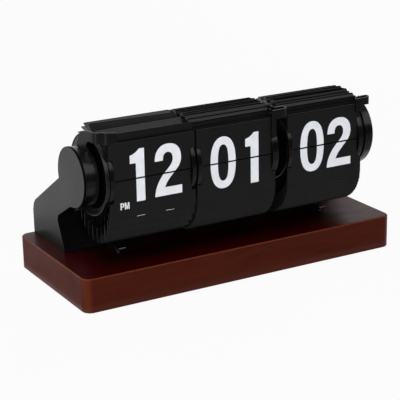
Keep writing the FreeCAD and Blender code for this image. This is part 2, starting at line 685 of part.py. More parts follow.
def leaf_stack(name, count, x0, x1, front_cuts):
    pitch, root, length = leaf_sizes(count)
    upper = []
    lower = []
    for k in range(count // 2):
        theta = pitch * (k + 0.5)
        a = math.radians(theta)
        hang_y = axis_y - pin_radius * math.cos(a)
        hang_z = axis_z - pin_radius * math.sin(a)
        lower.append(flat_leaf(x0, x1, hang_y, hang_z, root, length, -1, []))
        if k > 0:
            upper.append(bowed_leaf(x0, x1, theta, root, length))
    first = math.radians(pitch / 2)
    pin_y = axis_y - pin_radius * math.cos(first)
    pin_z = axis_z + pin_radius * math.sin(first)
    save(name + "_falling_leaf", flat_leaf(x0, x1, pin_y, pin_z, root, length, 1, front_cuts))
    save(name + "_upper_leaves", upper)
    save(name + "_lower_leaves", lower)
    print(name, "pin of the falling leaf at y", round(pin_y, 4), "z", round(pin_z, 4))


side_cut = catch_cover + catch_clearance
side_depth = 22.0
leaf_stack("hour", hour_leaves, hour_x0, hour_x1, [])
leaf_stack("minute", minute_leaves, minute_x0, minute_x1, [(minute_x1 - side_cut, minute_x1 + 1, side_depth)])
leaf_stack("date", date_leaves, date_x0, date_x1, [(date_x1 - side_cut, date_x1 + 1, side_depth)])

# ---------------------------------------------------------------- leaf catches
strip_thickness = 0.8
catch_height = 9.0
catch_front = 2.6            # catch face in front of the leaf pins
catch_z0 = axis_z + window_half_height - 0.8
catch_z1 = catch_z0 + catch_height
catch_y0 = axis_y - pin_radius - catch_front
catch_y1 = catch_y0 + strip_thickness


def end_catch(leaf_x1, overhang, tail_x, tail_y, tail_z0, tail_z1, leg_z):
    """Bent spring strip: face over the leaf corner, return bend, and a tail to its carrier."""
    face = box(leaf_x1 - catch_cover, leaf_x1 + overhang, catch_y0, catch_y1, catch_z0, catch_z1)
    leg = box(leaf_x1 - catch_cover, leaf_x1 - 0.3, catch_y0, catch_y1, leg_z, catch_z0)
    side = prism([(catch_y0, catch_z0), (catch_y0, catch_z1), (catch_y0 + 9, catch_z1),
                  (tail_y, tail_z1), (tail_y, tail_z0), (catch_y0 + 9, catch_z0)], tail_x, tail_x + strip_thickness)
    return fused([face, leg, side])


minute_tail_x = bracket_x1
horn_y = axis_y - 12.0
save("minute_catch", end_catch(minute_x1, 10.0, minute_tail_x, horn_y, axis_z + 22, axis_z + 31, axis_z + 18.5))
date_tail_x = arm_x0 - strip_thickness
save("date_catch", end_catch(date_x1, 8.4, date_tail_x, axis_y + 4, axis_z + 8, axis_z + 15, axis_z + 26.0))

hour_catch_x = housing_x1 - 4.5
hour_strip = prism([(catch_y0, catch_z0), (catch_y0, catch_z1), (catch_y0 + 12, catch_z1 - 2),
                    (axis_y - 6, axis_z + cover_disc_radius + 4), (axis_y + 6, axis_z + cover_disc_radius + 2),
                    (axis_y + 6, axis_z + cover_disc_radius - 2.0), (axis_y - 12, axis_z + cover_disc_radius - 4.0),
                    (catch_y0 + 14, catch_z0)], hour_catch_x, hour_catch_x + strip_thickness)
hour_face = box(hour_catch_x, hour_x0 + 9.0, catch_y0, catch_y1, catch_z0 + 0.8, catch_z1)
hour_catch = fused([hour_strip, hour_face]).cut(rod(housing_x0, housing_x1, axis_y, axis_z, cover_disc_radius - housing_inset + 0.02))
save("hour_catch", hour_catch)
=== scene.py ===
"""Desk flip clock: three drums of split leaves on one axle, above a varnished wooden base."""
import math

import bmesh
import bpy
from mathutils import Matrix, Vector
from mathutils.geometry import tessellate_polygon


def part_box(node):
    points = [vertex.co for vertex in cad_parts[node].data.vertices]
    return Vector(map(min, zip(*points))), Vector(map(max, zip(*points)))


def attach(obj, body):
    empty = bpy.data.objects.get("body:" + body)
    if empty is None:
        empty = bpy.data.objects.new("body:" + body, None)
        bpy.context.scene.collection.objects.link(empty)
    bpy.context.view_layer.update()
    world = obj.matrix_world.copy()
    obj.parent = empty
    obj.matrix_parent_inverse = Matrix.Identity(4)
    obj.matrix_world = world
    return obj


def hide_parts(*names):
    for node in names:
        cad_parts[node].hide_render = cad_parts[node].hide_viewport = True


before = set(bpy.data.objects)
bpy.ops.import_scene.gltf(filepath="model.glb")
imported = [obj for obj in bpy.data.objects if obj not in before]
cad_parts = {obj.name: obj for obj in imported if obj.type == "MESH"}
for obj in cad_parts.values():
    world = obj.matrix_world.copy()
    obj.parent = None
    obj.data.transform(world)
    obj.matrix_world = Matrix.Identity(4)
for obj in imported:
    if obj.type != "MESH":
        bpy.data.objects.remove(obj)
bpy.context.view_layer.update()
MM = 0.001

# ---------------------------------------------------------------- wooden base
# One block of close-grained hardwood, stained dark red-brown, its corners rounded and its edges
# eased, under a satin varnish.  It carries everything else.
wood_dark = (0.041, 0.0056, 0.0020, 1)
wood_light = (0.062, 0.0090, 0.0034, 1)
wood_pore = (0.026, 0.0024, 0.0011, 1)
# Painted highlights: the rounded vertical corners and the eased edges are lighter.
wood_corner_highlight = (0.078, 0.017, 0.0055, 1)
wood_edge_highlight = (0.135, 0.030, 0.009, 1)     # painted highlight along the eased edges
wood_top_shade = (0.044, 0.0008, 0.0005, 1)    # painted shade: the deck is darker than the sides,
wood_under_drum_shadow = (0.006, 0.0003, 0.0002, 1)   # and painted shadow makes it darker still towards its middle
deck_shadow_front = (-72 * MM, -42 * MM)       # the painted shadow on the deck deepens inwards over these y
deck_shadow_ends = (158 * MM, 128 * MM)        # and over these distances from its middle
black = (0, 0, 0, 1)
white = (1, 1, 1, 1)


def new_finish(name):
    """A new procedural material: itself, its node tree and its shader."""
    material = bpy.data.materials.new(name)
    material.use_nodes = True
    tree = material.node_tree
    return material, tree, tree.nodes["Principled BSDF"]


def place_on_piece(tree, stretch):
    """Coordinates of the piece itself, in metres, times stretch along each axis."""
    coordinates = tree.nodes.new("ShaderNodeTexCoord")
    mapping = tree.nodes.new("ShaderNodeMapping")
    mapping.inputs["Scale"].default_value = stretch
    tree.links.new(coordinates.outputs["Object"], mapping.inputs["Vector"])
    return mapping.outputs["Vector"]


def cloudy(tree, stretch, detail=3.0, distortion=0.0):
    """Value from 0 to 1 that varies about once per metre of the stretched coordinates."""
    texture = tree.nodes.new("ShaderNodeTexNoise")
    texture.inputs["Scale"].default_value = 1.0
    texture.inputs["Detail"].default_value = detail
    texture.inputs["Distortion"].default_value = distortion
    tree.links.new(place_on_piece(tree, stretch), texture.inputs["Vector"])
    return texture.outputs["Fac"]


def graded(tree, value, stops):
    """Colour ramp; stops are (place from 0 to 1, colour)."""
    ramp = tree.nodes.new("ShaderNodeValToRGB")
    for element, (place, colour) in zip(ramp.color_ramp.elements, (stops[0], stops[-1])):
        element.position = place
        element.color = colour
    for place, colour in stops[1:-1]:
        ramp.color_ramp.elements.new(place).color = colour
    tree.links.new(value, ramp.inputs["Fac"])
    return ramp.outputs["Color"]


def ranged(tree, value, low, high, start=0.3, end=0.7):
    """The value, start to end, spread over low to high."""
    spread = tree.nodes.new("ShaderNodeMapRange")
    spread.inputs["From Min"].default_value = start
    spread.inputs["From Max"].default_value = end
    spread.inputs["To Min"].default_value = low
    spread.inputs["To Max"].default_value = high
    tree.links.new(value, spread.inputs["Value"])
    return spread.outputs["Result"]


def mixed(tree, share, first, second):
    """Second colour over the first by a share that varies over the surface."""
    mix = tree.nodes.new("ShaderNodeMix")
    mix.data_type = "RGBA"
    tree.links.new(share, mix.inputs["Factor"])
    colour_sockets = [socket for socket in mix.inputs if socket.type == "RGBA"]
    for socket, colour in zip(colour_sockets, (first, second)):
        if isinstance(colour, tuple):
            socket.default_value = colour
        else:
            tree.links.new(colour, socket)
    return next(socket for socket in mix.outputs if socket.type == "RGBA")


def worked(tree, operation, *values):
    """Result of one sum on values that vary over the surface."""
    step = tree.nodes.new("ShaderNodeMath")
    step.operation = operation
    for socket, value in zip(step.inputs, values):
        tree.links.new(value, socket)
    return step.outputs[0]


def tint(tree, shader, value, dark, light):
    """Colour that runs from dark to light with the value."""
    tree.links.new(graded(tree, value, [(0.3, dark), (0.7, light)]), shader.inputs["Base Color"])


def roughen(tree, shader, value, low, high):
    """Roughness that runs from low to high with the value."""
    tree.links.new(ranged(tree, value, low, high), shader.inputs["Roughness"])


def raise_surface(tree, shader, height, depth, strength=0.6):
    """Small relief of that depth in metres."""
    bump = tree.nodes.new("ShaderNodeBump")
    bump.inputs["Distance"].default_value = depth
    bump.inputs["Strength"].default_value = strength
    tree.links.new(height, bump.inputs["Height"])
    tree.links.new(bump.outputs["Normal"], shader.inputs["Normal"])


def varnished_wood():
    material, tree, shader = new_finish("varnished_wood")
    figure = cloudy(tree, (9, 60, 75), detail=4, distortion=1.2)
    colour = graded(tree, figure, [(0.32, wood_dark), (0.68, wood_light)])
    fibre = cloudy(tree, (55, 1500, 1700), detail=2)
    pores = graded(tree, fibre, [(0.60, black), (0.74, white)])
    grained = mixed(tree, pores, colour, wood_pore)
    # Painted shade on the upward faces, and painted shadow under the drums, darker towards the middle of the
    # deck.
    place = tree.nodes.new("ShaderNodeSeparateXYZ")
    tree.links.new(place_on_piece(tree, (1, 1, 1)), place.inputs["Vector"])
    from_front = ranged(tree, place.outputs["Y"], 0.0, 1.0, *deck_shadow_front)
    aside = worked(tree, "ABSOLUTE", place.outputs["X"])
    from_ends = ranged(tree, aside, 0.0, 1.0, *deck_shadow_ends)
    under_drum_shadow = worked(tree, "MULTIPLY", from_front, from_ends)
    shaded_deck = mixed(tree, under_drum_shadow, wood_top_shade, wood_under_drum_shadow)
    facing = tree.nodes.new("ShaderNodeSeparateXYZ")
    tree.links.new(tree.nodes.new("ShaderNodeNewGeometry").outputs["Normal"], facing.inputs["Vector"])
    upward = graded(tree, facing.outputs["Z"], [(0.85, black), (0.97, white)])
    topped = mixed(tree, upward, grained, shaded_deck)
    # Painted highlights on the rounded vertical corners and along the eased edges.
    turning = worked(tree, "MULTIPLY", facing.outputs["X"], facing.outputs["Y"])
    around = worked(tree, "ABSOLUTE", turning)
    corner_highlight = graded(tree, around, [(0.12, black), (0.45, (0.7, 0.7, 0.7, 1))])
    rounded = mixed(tree, corner_highlight, topped, wood_corner_highlight)
    edge_stops = [(0.12, black), (0.4, white), (0.8, white), (0.95, black)]
    edge = graded(tree, facing.outputs["Z"], edge_stops)
    tree.links.new(mixed(tree, edge, rounded, wood_edge_highlight), shader.inputs["Base Color"])
    roughen(tree, shader, cloudy(tree, (25, 60, 60)), 0.34, 0.44)
    shader.inputs["Specular IOR Level"].default_value = 0.13
    raise_surface(tree, shader, fibre, 0.02 * MM, 0.25)
    return material


def dress(node, material):
    """Give a CAD node its finish."""
    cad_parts[node].data.materials.clear()
    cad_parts[node].data.materials.append(material)


dress("wooden_base", varnished_wood())

# ---------------------------------------------------------------- felt and base screws
# A sheet of dark pressed felt is glued into a shallow recess under the base.  Four countersunk
# steel screws go up through the wood into the floor plate.
felt_dark = (0.006, 0.0065, 0.006, 1)
felt_light = (0.022, 0.023, 0.022, 1)
steel_dark = (0.30, 0.30, 0.31, 1)
steel_light = (0.52, 0.52, 0.53, 1)


def pressed_felt():
    material, tree, shader = new_finish("felt")
    fibres = cloudy(tree, (1400, 1400, 1400), detail=5, distortion=2.0)
    tint(tree, shader, fibres, felt_dark, felt_light)
    shader.inputs["Roughness"].default_value = 0.95
    shader.inputs["Sheen Weight"].default_value = 0.25
    raise_surface(tree, shader, fibres, 0.15 * MM)
    return material


def turned_steel():
    material, tree, shader = new_finish("steel")
    streaks = cloudy(tree, (2500, 60, 60), detail=2)
    tint(tree, shader, streaks, steel_dark, steel_light)
    roughen(tree, shader, streaks, 0.22, 0.38)
    shader.inputs["Metallic"].default_value = 1.0
    raise_surface(tree, shader, streaks, 0.01 * MM)
    return material


steel = turned_steel()
dress("felt_sheet", pressed_felt())
for name in ("base_screws", "idler_pins", "axle"):
    dress(name, steel)

# ---------------------------------------------------------------- black mouldings
# Floor plate, feet, covers, rear housing, arms and bracket are injection moulded in black, with a
# fine spark-eroded grain, and each edge has the small radius that its mould leaves.
case_dark = (0.0018, 0.0018, 0.0019, 1)
case_light = (0.0034, 0.0034, 0.0036, 1)
case_edge_radius = 0.35 * MM
case_grain = 2600
weld_distance = 0.001 * MM
flat_deg = 0.3              # faces that meet at less are one flat face
sharp_deg = 32
matt_below = 90.5 * MM      # the gear housing's walls are left matt up to here


def moulded_plastic(name, dark, light, rough, grain_depth, gloss):
    material, tree, shader = new_finish(name)
    clouds = cloudy(tree, (28, 28, 28), detail=4)
    grain = cloudy(tree, (case_grain, case_grain, case_grain), detail=2)
    tone = graded(tree, clouds, [(0.3, dark), (0.7, light)])
    specks = graded(tree, grain, [(0.62, black), (0.80, (0.5, 0.5, 0.5, 1))])
    tree.links.new(mixed(tree, specks, tone, light), shader.inputs["Base Color"])
    roughen(tree, shader, clouds, rough - 0.04, rough + 0.04)
    shader.inputs["Specular IOR Level"].default_value = gloss
    raise_surface(tree, shader, grain, grain_depth, 0.35)
    return material


def new_piece(name, corners, faces, material, crease_deg=sharp_deg, closed=True):
    """Mesh object with smooth shading, except across edges sharper than the crease angle."""
    mesh = bpy.data.meshes.new(name)
    mesh.from_pydata(corners, [], faces)
    mesh.materials.append(material)
    mesh.update()
    if closed:
        work = bmesh.new()
        work.from_mesh(mesh)
        bmesh.ops.recalc_face_normals(work, faces=work.faces)
        work.to_mesh(mesh)
        work.free()
    mesh.shade_smooth()
    mesh.set_sharp_from_angle(angle=math.radians(crease_deg))
    piece = bpy.data.objects.new(name, mesh)
    bpy.context.scene.collection.objects.link(piece)
    return piece


def taken_apart(work):
    """Corners and faces of a finished bmesh, which is freed."""
    work.verts.index_update()
    corners = [v.co.copy() for v in work.verts]
    faces = [[v.index for v in face.verts] for face in work.faces]
    work.free()
    return corners, faces


def ease_edges(piece, radius, above_deg, clamped=True):
    """Small radius on each edge that is sharper than the angle."""
    rounding = piece.modifiers.new("edge_radius", "BEVEL")
    rounding.limit_method = "ANGLE"
    rounding.angle_limit = math.radians(above_deg)
    rounding.width = radius
    rounding.segments = 3
    rounding.use_clamp_overlap = clamped
    rounding.harden_normals = True


def eased_copy(node, body, material, radius=case_edge_radius, clamped=False):
    """The node's own shape with a small radius on its sharp edges, shown in its place."""
    work = bmesh.new()
    work.from_mesh(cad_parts[node].data)
    bmesh.ops.remove_doubles(work, verts=work.verts, dist=weld_distance)
    bmesh.ops.dissolve_limit(work, angle_limit=math.radians(flat_deg), verts=work.verts, edges=work.edges)
    piece = new_piece(node + "_moulding", *taken_apart(work), material)
    ease_edges(piece, radius, sharp_deg, clamped)
    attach(piece, body)
    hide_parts(node)
    return piece


def second_finish(piece, material, chosen):
    """Another material on the faces that the test picks."""
    piece.data.materials.append(material)
    for face in piece.data.polygons:
        if chosen(face):
            face.material_index = 1


case_plastic = moulded_plastic("case_plastic", case_dark, case_light, 0.30, 0.012 * MM, 0.20)
satin_plastic = moulded_plastic("case_plastic_satin", case_dark, case_light, 0.235, 0.006 * MM, 0.55)
polished_plastic = moulded_plastic("case_plastic_polished", case_dark, case_light, 0.17, 0.006 * MM, 0.5)
shell_plastic = moulded_plastic("case_plastic_shell", case_dark, case_light, 0.5, 0.02 * MM, 0.02)
back_shell = eased_copy("rear_housing", "stand", shell_plastic)
# Only its back wall has the finer grain of the other mouldings.
second_finish(back_shell, case_plastic, lambda face: face.normal.y > 0.6)
for name in ("battery_tray", "step_motor", "centre_bracket", "right_arm"):
    eased_copy(name, "stand", case_plastic)
for name in ("left_foot", "right_foot"):
    eased_copy(name, "stand", polished_plastic)
housing = eased_copy("gear_housing", "stand", satin_plastic)
second_finish(housing, shell_plastic, lambda face: face.center.z < matt_below and abs(face.normal.x) < 0.5)
cover = eased_copy("left_cover", "stand", case_plastic, 0.25 * MM, clamped=True)
# The cover's narrow edge is matt all round.
second_finish(cover, shell_plastic, lambda face: abs(face.normal.x) < 0.5)
eased_copy("floor_plate", "stand", polished_plastic, 1.0 * MM)
eased_copy("battery_door", "door", case_plastic, 0.2 * MM)
eased_copy("set_thumbwheel", "set_wheel", case_plastic, 0.12 * MM)

# ---------------------------------------------------------------- gears, motor board and battery
# The gears are natural acetal and the motor's pinion is turned brass; the board is a green
# laminate; the cell has a plain printed sleeve and sits between nickel-plated contacts.
acetal_dark = (0.52, 0.50, 0.42, 1)
acetal_light = (0.66, 0.64, 0.56, 1)
brass_dark = (0.42, 0.26, 0.08, 1)
brass_light = (0.62, 0.42, 0.16, 1)
nickel_dark = (0.45, 0.44, 0.42, 1)
nickel_light = (0.66, 0.65, 0.63, 1)
board_dark = (0.004, 0.045, 0.014, 1)
board_light = (0.008, 0.085, 0.026, 1)
sleeve_dark = (0.010, 0.014, 0.022, 1)
sleeve_light = (0.030, 0.036, 0.050, 1)


def plain_metal(name, dark, light, rough):
    material, tree, shader = new_finish(name)
    streaks = cloudy(tree, (1800, 300, 300), detail=3)
    tint(tree, shader, streaks, dark, light)
    roughen(tree, shader, streaks, rough - 0.08, rough + 0.08)
    shader.inputs["Metallic"].default_value = 1.0
    return material


acetal = moulded_plastic("gear_plastic", acetal_dark, acetal_light, 0.38, 0.01 * MM, 0.3)
for name in ("minute_gear", "idler_gear_upper", "idler_gear_middle", "idler_gear_lower", "set_gear"):
    dress(name, acetal)
dress("motor_pinion", plain_metal("brass", brass_dark, brass_light, 0.28))
nickel = plain_metal("plated_spring", nickel_dark, nickel_light, 0.25)
for name in ("battery_contact", "battery_spring"):
    dress(name, nickel)
jacket = moulded_plastic("battery_jacket", sleeve_dark, sleeve_light, 0.3, 0.005 * MM, 0.4)
dress("battery_cell", jacket)
laminate = moulded_plastic("board", board_dark, board_light, 0.25, 0.01 * MM, 0.4)
dress("circuit_board", laminate)

# ---------------------------------------------------------------- drums: discs, cores and flange
# Each drum is a hollow core between two moulded discs with a raised rim.  The hour drum also has a
# dished flange on its left.  All are smooth black plastic with faint turning rings.
axle_y = -22.5 * MM
axle_z = 115.7 * MM
wheel_dark = (0.0016, 0.0016, 0.0017, 1)
wheel_light = (0.0030, 0.0030, 0.0032, 1)
turn_steps = 144
ring_scale = 100.0     # turning rings about 3 mm apart
most_rounded = 0.45    # share of an outline's side that one rounded corner may take


def turned_plastic(name, rough, gloss=0.5):
    material, tree, shader = new_finish(name)
    coordinates = tree.nodes.new("ShaderNodeTexCoord")
    centred = tree.nodes.new("ShaderNodeMapping")
    centred.inputs["Location"].default_value = (0, -axle_y, -axle_z)
    rings = tree.nodes.new("ShaderNodeTexWave")
    rings.wave_type = "RINGS"
    rings.rings_direction = "X"
    rings.inputs["Scale"].default_value = ring_scale
    rings.inputs["Distortion"].default_value = 0.4
    tree.links.new(coordinates.outputs["Object"], centred.inputs["Vector"])
    tree.links.new(centred.outputs["Vector"], rings.inputs["Vector"])
    clouds = cloudy(tree, (35, 35, 35), detail=4)
    tint(tree, shader, clouds, wheel_dark, wheel_light)
    roughen(tree, shader, clouds, rough - 0.025, rough + 0.025)
    shader.inputs["Specular IOR Level"].default_value = gloss
    raise_surface(tree, shader, rings.outputs["Fac"], 0.01 * MM, 0.2)
    return material


def softened(profile, radius, steps=4):
    """Closed outline of (x, r) points with each corner turned into an arc."""
    soft = []
    points = [Vector(point) for point in profile]
    for i, corner in enumerate(points):
        before = points[i - 1] - corner
        after = points[(i + 1) % len(points)] - corner
        reach = min(radius, most_rounded * before.length, most_rounded * after.length)
        start = corner + before.normalized() * reach
        end = corner + after.normalized() * reach
        for k in range(steps + 1):
            t = k / steps
            soft.append(start.lerp(corner, t).lerp(corner.lerp(end, t), t))
    return soft


def skin(corners, faces, rings, looped=False):
    """Adds a skin over rings of points, with flat ends or looped back to the first ring."""
    count = len(rings[0])
    start = len(corners)
    last = start + (len(rings) - 1) * count
    for ring in rings:
        corners += ring
    starts = list(range(start, last + 1, count))
    for here, there in zip(starts, starts[1:] + (starts[:1] if looped else [])):
        for i in range(count):
            j = (i + 1) % count
            faces.append((here + i, here + j, there + j, there + i))
    if not looped:
        faces.append(range(start, start + count))
        faces.append(range(last + count - 1, last - 1, -1))


def circle(radius, sides):
    """Offsets of the points of a circle."""
    turns = [2 * math.pi * k / sides for k in range(sides)]
    return [(radius * math.cos(turn), radius * math.sin(turn)) for turn in turns]


def turned(name, profile, body, material, nodes_replaced, radius=0.5 * MM):
    """Ring or disc: a closed (x, r) outline carried round the axle."""
    outline = softened(profile, radius)
    corners = []
    faces = []
    rings = [[(x, axle_y + r * c, axle_z + r * s) for x, r in outline] for c, s in circle(1, turn_steps)]
    skin(corners, faces, rings, looped=True)
    piece = new_piece(name, corners, faces, material)
    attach(piece, body)
    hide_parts(*nodes_replaced)


wheel_plastic = turned_plastic("wheel_plastic", 0.185)
flange_plastic = turned_plastic("wheel_plastic_satin", 0.32, 0.8)
web_plastic = turned_plastic("wheel_plastic_matt", 0.6, 0.0)
rim_width = 3.4 * MM
rim_step = 0.7 * MM
arbor_bore = 4.58 * MM
axle_bore = 2.58 * MM
groove_in = 34.6 * MM
groove_out = 37.4 * MM
groove_depth = 1.7 * MM
boss_radius = 12.0 * MM
dished_from = 13.0 * MM


def drum_disc(drum, side, groove_at_right):
    """Disc with a hub boss and a raised rim; the leaf tabs run in the groove of its inner face."""
    low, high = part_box(drum + "_" + side + "_disc")
    outer = (high.z - low.z) / 2
    bore = axle_bore if drum == "date" else arbor_bore
    inside, outside = (high.x, low.x) if groove_at_right else (low.x, high.x)
    into = -1 if groove_at_right else 1
    groove_floor = inside + into * groove_depth
    dish = outside - into * rim_step
    profile = [(inside, bore), (inside, groove_in), (groove_floor, groove_in), (groove_floor, groove_out),
               (inside, groove_out), (inside, outer), (outside, outer), (outside, outer - rim_width),
               (dish, outer - rim_width - rim_step), (dish, dished_from), (outside, boss_radius),
               (outside, bore)]
    turned(drum + "_" + side + "_wheel_disc", profile, drum + "_wheel", wheel_plastic,
           [drum + "_" + side + "_disc"], 0.3 * MM)


for drum in ("hour", "minute", "date"):
    drum_disc(drum, "left", True)
    drum_disc(drum, "right", False)
    dress(drum + "_core", wheel_plastic)
dress("minute_arbor", wheel_plastic)

flange_low, flange_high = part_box("hour_flange")
flange_radius = (flange_high.z - flange_low.z) / 2
flange_lip = 0.9 * MM
flange_dish = 2.9 * MM
web_left = flange_low.x + flange_dish
web_radius = flange_radius - 6.1 * MM
web_profile = [(flange_high.x, arbor_bore), (flange_high.x, web_radius), (web_left, web_radius),
               (web_left, arbor_bore)]
flange_profile = [
    (flange_high.x, flange_radius - 7.0 * MM), (flange_high.x, flange_radius - 0.9 * MM),
    (flange_high.x - 0.6 * MM, flange_radius - 0.3 * MM), (flange_low.x + 0.5 * MM, flange_radius),
    (flange_low.x, flange_radius - 0.2 * MM), (flange_low.x, flange_radius - flange_lip),
    (flange_low.x + 0.9 * MM, flange_radius - 1.6 * MM), (web_left, flange_radius - 6.0 * MM),
    (web_left, flange_radius - 7.0 * MM)]
turned("hour_drum_flange", flange_profile, "hour_wheel", flange_plastic, ["hour_flange"],
       0.3 * MM)
turned("hour_flange_web", web_profile, "hour_wheel", web_plastic, ["hour_flange"],
       0.1 * MM)

# ---------------------------------------------------------------- date knob
# The date drum ends in a wide stepped knob outside the right arm, turned by hand to set the day.
# Its stem runs through the arm and its rim has a shallow ring to grip.
knob_low, knob_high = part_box("date_knob")
knob_radius = (knob_high.z - knob_low.z) / 2
knob_proud = 0.8 * MM        # how far the face stands outside the node that it replaces
knob_thickness = 10.6 * MM
knob_round = 3.0 * MM
knob_round_steps = 8
knob_stem_radius = 5.0 * MM
knob_dish = 1.6 * MM
knob_dish_radius = 28.0 * MM
knob_boss_radius = 9.0 * MM
knob_slope = 0.8 * MM
knob_centre_hole = 3.2 * MM
knob_face_x = knob_high.x + knob_proud
knob_back_x = knob_face_x - knob_thickness
knob_dish_x = knob_face_x - knob_dish
knob_profile = [
    (knob_low.x, axle_bore), (knob_low.x, knob_stem_radius), (knob_back_x, knob_stem_radius),
    (knob_back_x, knob_radius - 0.5 * MM), (knob_back_x + 0.5 * MM, knob_radius),
    (knob_back_x + 1.7 * MM, knob_radius),
    (knob_back_x + 2.0 * MM, knob_radius - 0.4 * MM), (knob_back_x + 2.3 * MM, knob_radius)]
for k in range(knob_round_steps + 1):
    turn = math.pi / 2 * k / knob_round_steps
    knob_profile.append((knob_face_x - knob_round + knob_round * math.sin(turn),
                         knob_radius - knob_round + knob_round * math.cos(turn)))
knob_profile += [
    (knob_face_x, knob_dish_radius + knob_slope), (knob_dish_x, knob_dish_radius),
    (knob_dish_x, knob_boss_radius + knob_slope), (knob_face_x, knob_boss_radius),
    (knob_face_x, knob_centre_hole), (knob_face_x - 2.0 * MM, axle_bore)]
turned("date_setting_knob", knob_profile, "date_wheel", wheel_plastic, ["date_knob"],
       0.4 * MM)

arm_rim_in = 26.0 * MM
arm_rim_out = 35.0 * MM
arm_low, arm_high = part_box("right_arm")
rim_profile = [(arm_low.x, arm_rim_in), (arm_low.x, arm_rim_out), (arm_high.x, arm_rim_out),
               (arm_high.x, arm_rim_in)]
turned("right_arm_rim", rim_profile, "stand", case_plastic, ["right_arm"], 0.5 * MM)

# ---------------------------------------------------------------- leaves
# Thin charcoal plastic sheet, punched to shape, matt on both sides.  Each carries half of a number
# on its front and half of the next one on its back.
leaf_dark = (0.0040, 0.0040, 0.0046, 1)
leaf_light = (0.0054, 0.0054, 0.0061, 1)


def leaf_sheet():
    material, tree, shader = new_finish("leaf_plastic")
    clouds = cloudy(tree, (40, 25, 25), detail=4)
    drawn = cloudy(tree, (900, 60, 60), detail=2)
    tint(tree, shader, clouds, leaf_dark, leaf_light)
    roughen(tree, shader, drawn, 0.29, 0.35)
    shader.inputs["Specular IOR Level"].default_value = 0.52
    raise_surface(tree, shader, drawn, 0.006 * MM, 0.25)
    return material


leaf_counts = {"hour": 24, "minute": 60, "date": 62}
leaf_plastic = leaf_sheet()
cut_edge = moulded_plastic("leaf_cut_edge", leaf_dark, leaf_light, 0.7, 0.01 * MM, 0.02)
pin_radius = 36.0 * MM
leaf_half_thickness = 0.1 * MM
window_half_height = 36.3 * MM
split_half_gap = 0.5 * MM
leaf_ear = 4.4 * MM
leaf_ear_length = 16.0 * MM
leaf_corner = 1.2 * MM
leaf_end_bead = 0.5 * MM
front_leaf_bead = 0.1 * MM
edge_roll_radius = 0.35 * MM
edge_roll_sides = 12
trimmed_edge = {"hour": 0.7 * MM, "minute": 1.3 * MM, "date": 1.3 * MM}
hanging_trim = 0.25       # hanging leaves show this share of the cut edge
tab_half_height = 0.8 * MM
tab_reach = 1.3 * MM
crease = 40               # degrees above which an edge of a leaf or catch is sharp
waiting_twist = 0.5 * MM
waiting_beat = 2.3        # radians from one leaf's twist to the next one's
hanging_swing = 0.25 * MM
hanging_beat = 2.1
swing_twist = 0.6         # how much of its swing a hanging leaf also twists
slim_bead = 0.35          # every third hanging leaf has a bead this much slimmer
raised_leaf = ("hour", 3)  # the third hour leaf behind the front one is higher at its left end
raised_leaf_lift = 1.5 * MM
tip_step = 0.02           # radians back from the free edge, to find its slope
curve_rise = 3.5 * MM     # the bow of a waiting leaf: its slope at the pin,
curve_free = 13.8 * MM    # and its curve where it lies free
curve_taut = 19.0 * MM    # or is held nearly straight


def leaf_angle(drum, k):
    """Angle from level to the pins of a drum's leaf, counted from the front one."""
    return 2 * math.pi / leaf_counts[drum] * (k + 0.5)


def pin_rise(drum):
    """Height of the front leaf's pins above the split."""
    return pin_radius * math.sin(leaf_angle(drum, 0))


def smooth_step(value, low, high):
    t = min(max((value - low) / (high - low), 0.0), 1.0)
    return t * t * (3 - 2 * t)


def leaf_bow(theta):
    """How strongly a waiting leaf bends: most where it stands or hangs nearly straight."""
    front = 1 - smooth_step(math.degrees(theta), 0, 40)
    rear = smooth_step(math.degrees(theta), 120, 160)
    return curve_free + (curve_taut - curve_free) * max(front, rear)


def on_leaf(theta, along):
    """Point (y, z) of a waiting leaf, by the angle from its pin."""
    radius = pin_radius + curve_rise * along + leaf_bow(theta) * along * along
    return (axle_y - radius * math.cos(theta + along), axle_z + radius * math.sin(theta + along))


def angle_at(theta, length):
    """Angle from the pin at which the leaf is that long."""
    root = on_leaf(theta, 0)
    low, high = 0.0, 2.0
    for _ in range(30):
        middle = (low + high) / 2
        if math.dist(root, on_leaf(theta, middle)) < length:
            low = middle
        else:
            high = middle
    return low


def leaf_path(pin, tip, tilt, share):
    """Place and direction on a resting leaf; share is 0 at its pin and 1 at its free edge."""
    chord = (tip - pin).length
    pull = tip - Vector((math.sin(tilt), math.cos(tilt))) * chord / 2
    if share < 0:
        start = (pull - pin).normalized()
        return pin + start * chord * share, start
    place = (1 - share) ** 2 * pin + 2 * share * (1 - share) * pull + share * share * tip
    return place, ((1 - share) * (pull - pin) + share * (tip - pull)).normalized()


def leaf_rows(root, tab, ear, corner):
    """Outline of a leaf from its root to its free edge, as (share of the length, inset of the end)."""
    tabbed = leaf_ear - tab_reach
    rows = [(root, leaf_ear), (-tab, leaf_ear), (-tab, tabbed), (tab, tabbed), (tab, leaf_ear)]
    rows += [(tab + (ear - tab) * k / 4, leaf_ear) for k in range(1, 5)]
    rows += [(ear + (1 - corner - ear) * k / 8, 0.0) for k in range(9)]
    for degrees in (30, 60, 90):
        turn = math.radians(degrees)
        rows.append((1 - corner * (1 - math.sin(turn)), leaf_corner * (1 - math.cos(turn))))
    return rows


